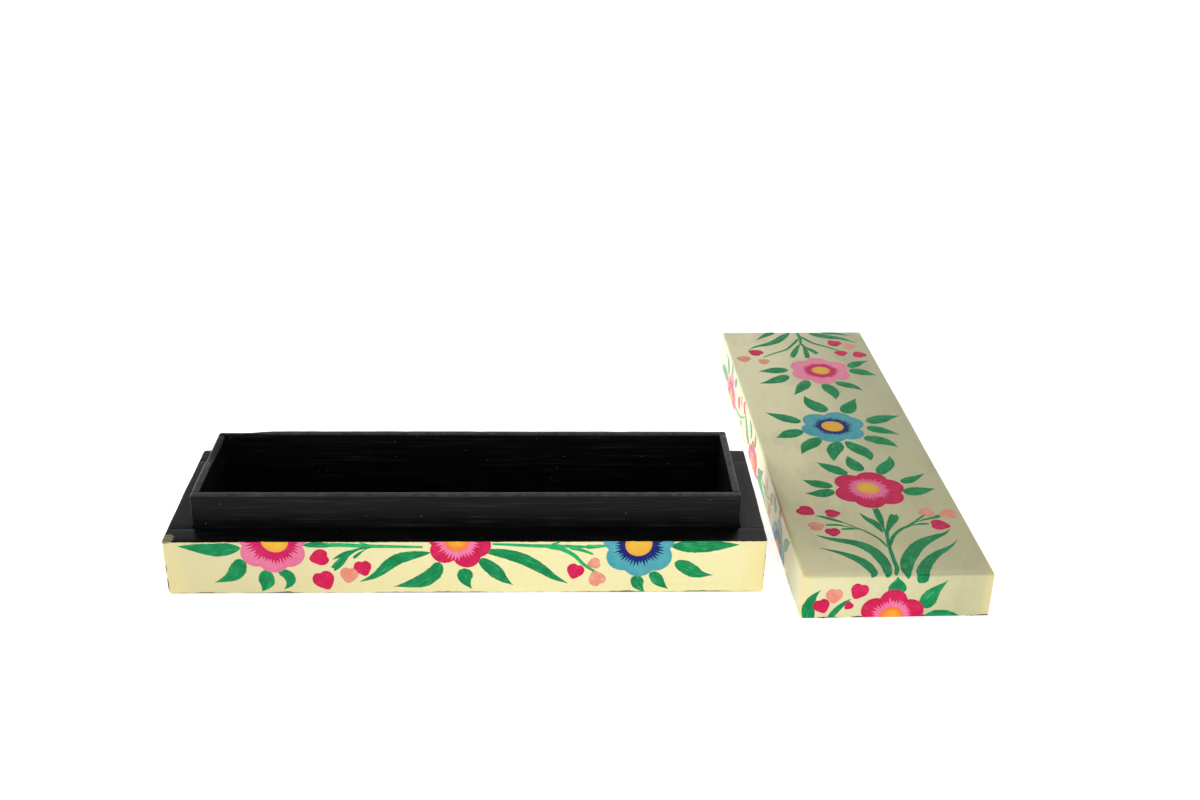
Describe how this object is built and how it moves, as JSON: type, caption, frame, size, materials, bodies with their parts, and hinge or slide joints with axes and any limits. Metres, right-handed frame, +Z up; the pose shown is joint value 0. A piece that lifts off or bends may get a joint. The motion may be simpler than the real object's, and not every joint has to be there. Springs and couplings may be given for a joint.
{
  "type": "wooden pencil box",
  "caption": "Narrow painted wooden box: a low tray with a lip standing proud round its mouth, and a loose cap lid that fits over the lip.",
  "frame": {"origin": "centre of the tray's underside", "axes": "+X along the tray towards the lid, +Y from the tray's front to its back, +Z up"},
  "size_m": [0.3009, 0.2213, 0.0366],
  "materials": {
    "cream_painted_wood": "hand-brushed cream paint with painted flowers, satin",
    "black_painted_wood": "hand-brushed black paint, glossy",
    "leaf_green_paint": "thin brushed green paint on wood, satin",
    "flower_paint": "thin brushed pink, crimson, blue and yellow paint on wood, satin"
  },
  "bodies": {
    "tray": {"tray_front_board": "cream_painted_wood", "tray_back_board": "cream_painted_wood", "tray_left_board": "cream_painted_wood", "tray_right_board": "cream_painted_wood", "tray_bottom_panel": "cream_painted_wood", "liner_front_strip": "black_painted_wood", "liner_back_strip": "black_painted_wood", "liner_left_strip": "black_painted_wood", "liner_right_strip": "black_painted_wood"},
    "lid": {"lid_top_panel": "cream_painted_wood", "lid_front_rail": "cream_painted_wood", "lid_back_rail": "cream_painted_wood", "lid_left_rail": "cream_painted_wood", "lid_right_rail": "cream_painted_wood"}
  },
  "joints": [
    {"name": "lid_lift", "type": "slide", "parent": "tray", "child": "lid", "axis": [0, 0, 1], "range_m": [0, 0.06]}
  ]
}
